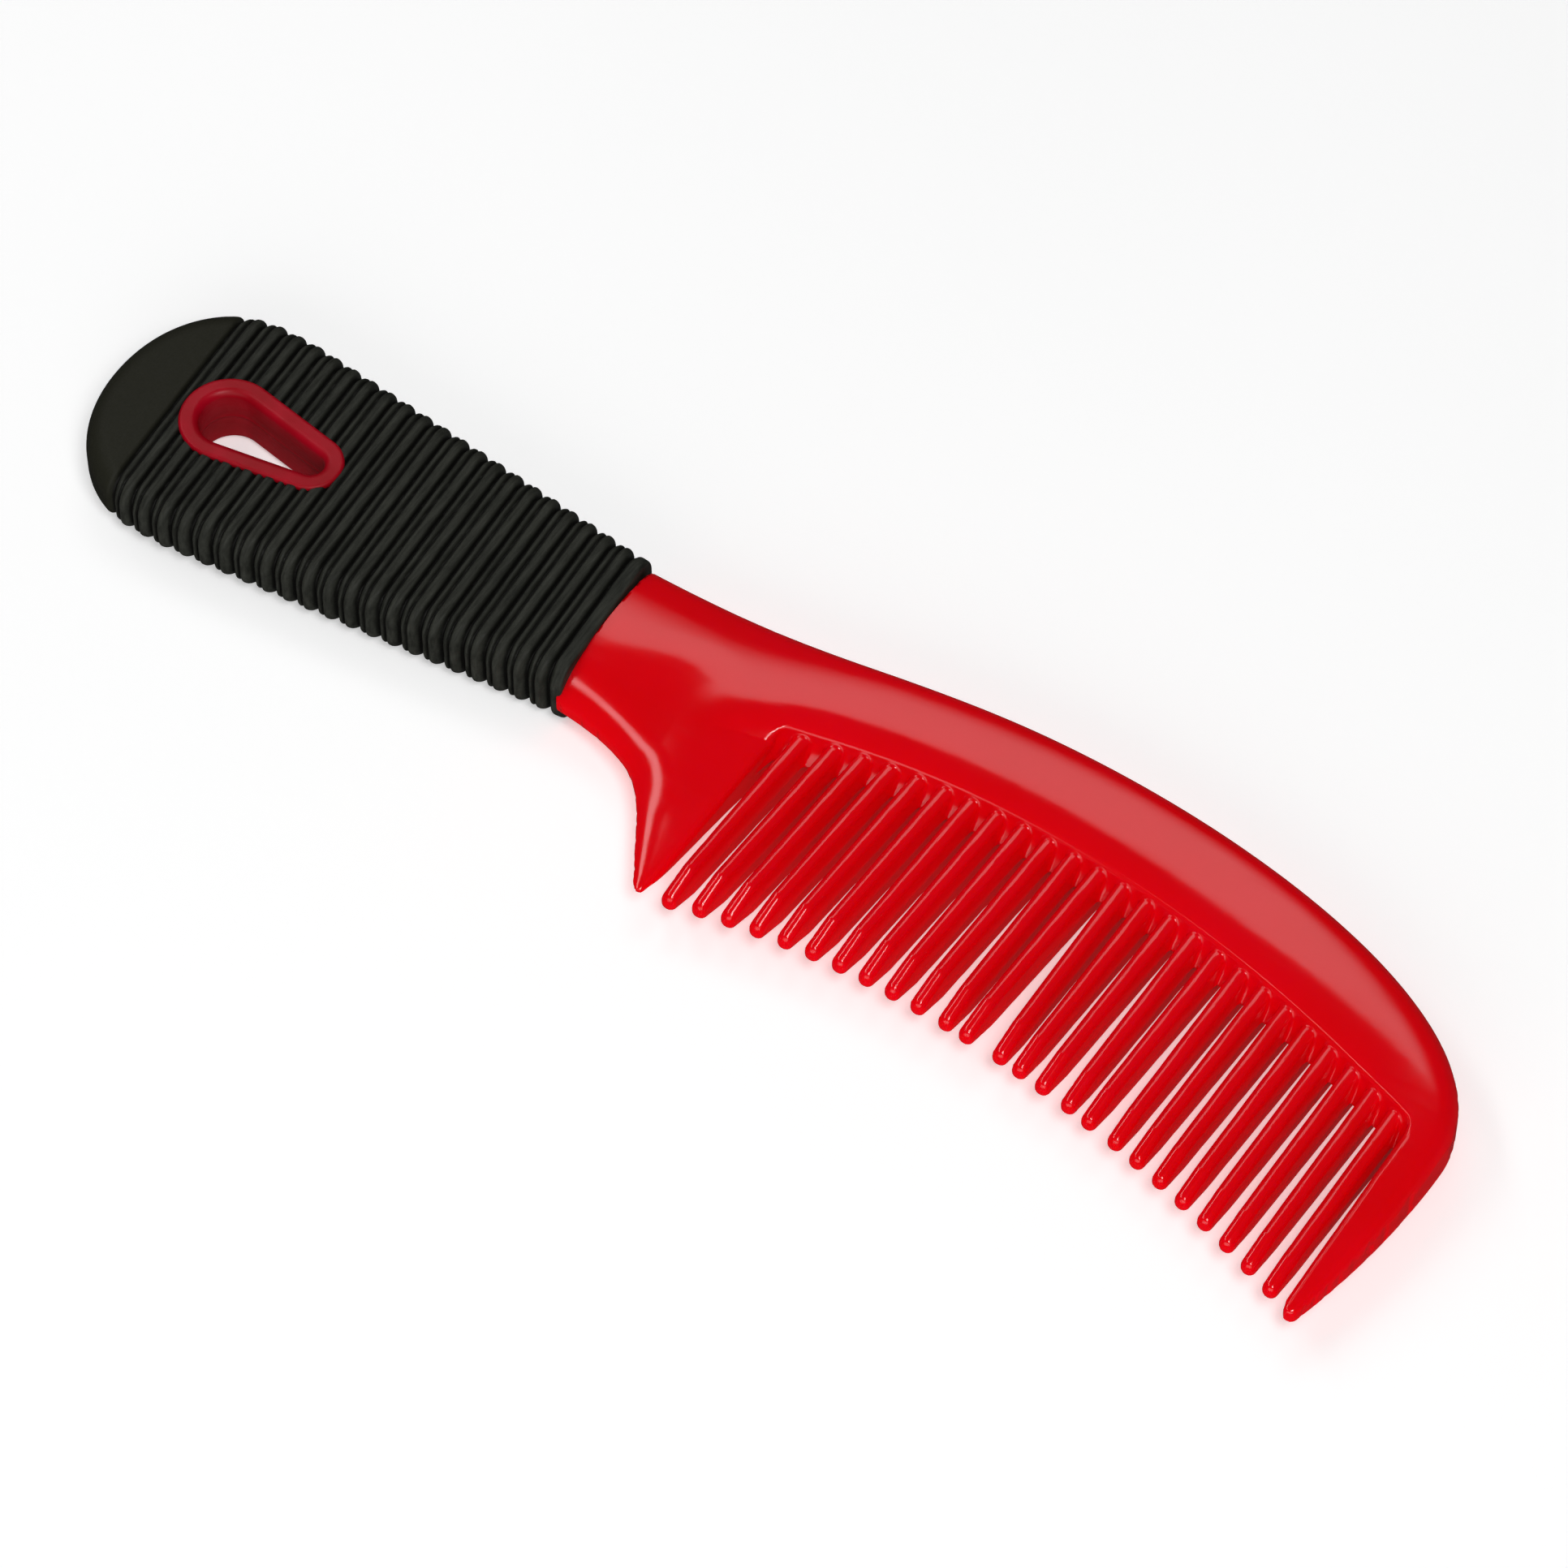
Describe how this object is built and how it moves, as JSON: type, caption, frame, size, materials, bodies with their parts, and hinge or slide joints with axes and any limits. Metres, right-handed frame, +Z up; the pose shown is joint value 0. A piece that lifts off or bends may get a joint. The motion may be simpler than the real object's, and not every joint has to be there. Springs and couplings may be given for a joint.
{
  "type": "mane and tail comb",
  "caption": "Wide-tooth animal grooming comb with a curved moulded plastic head and a ribbed rubber grip with a teardrop hang hole.",
  "frame": {"origin": "centre of the bounding box, on the plane that the comb lies on", "axes": "+X along the comb from the handle's butt to the toe of the head, -Y the way the teeth point, +Z up out of the flat comb"},
  "size_m": [0.2284, 0.0626, 0.0116],
  "materials": {
    "comb_plastic": "glossy injection-moulded red plastic",
    "eyelet_plastic": "satin dark red plastic",
    "grip_rubber": "matte black moulded rubber with cross ribs"
  },
  "bodies": {
    "root": {"rubber_grip": "grip_rubber", "hang_hole_eyelet": "eyelet_plastic", "handle_core": "comb_plastic", "neck": "comb_plastic", "spine": "comb_plastic", "heel_guard": "comb_plastic", "toe_guard": "comb_plastic", "tooth_01": "comb_plastic", "tooth_02": "comb_plastic", "tooth_03": "comb_plastic", "tooth_04": "comb_plastic", "tooth_05": "comb_plastic", "tooth_06": "comb_plastic", "tooth_07": "comb_plastic", "tooth_08": "comb_plastic", "tooth_09": "comb_plastic", "tooth_10": "comb_plastic", "tooth_11": "comb_plastic", "tooth_12": "comb_plastic", "tooth_13": "comb_plastic", "tooth_14": "comb_plastic", "tooth_15": "comb_plastic", "tooth_16": "comb_plastic", "tooth_17": "comb_plastic", "tooth_18": "comb_plastic", "tooth_19": "comb_plastic", "tooth_20": "comb_plastic", "tooth_21": "comb_plastic", "tooth_22": "comb_plastic", "tooth_23": "comb_plastic", "tooth_24": "comb_plastic", "tooth_25": "comb_plastic"}
  },
  "joints": []
}
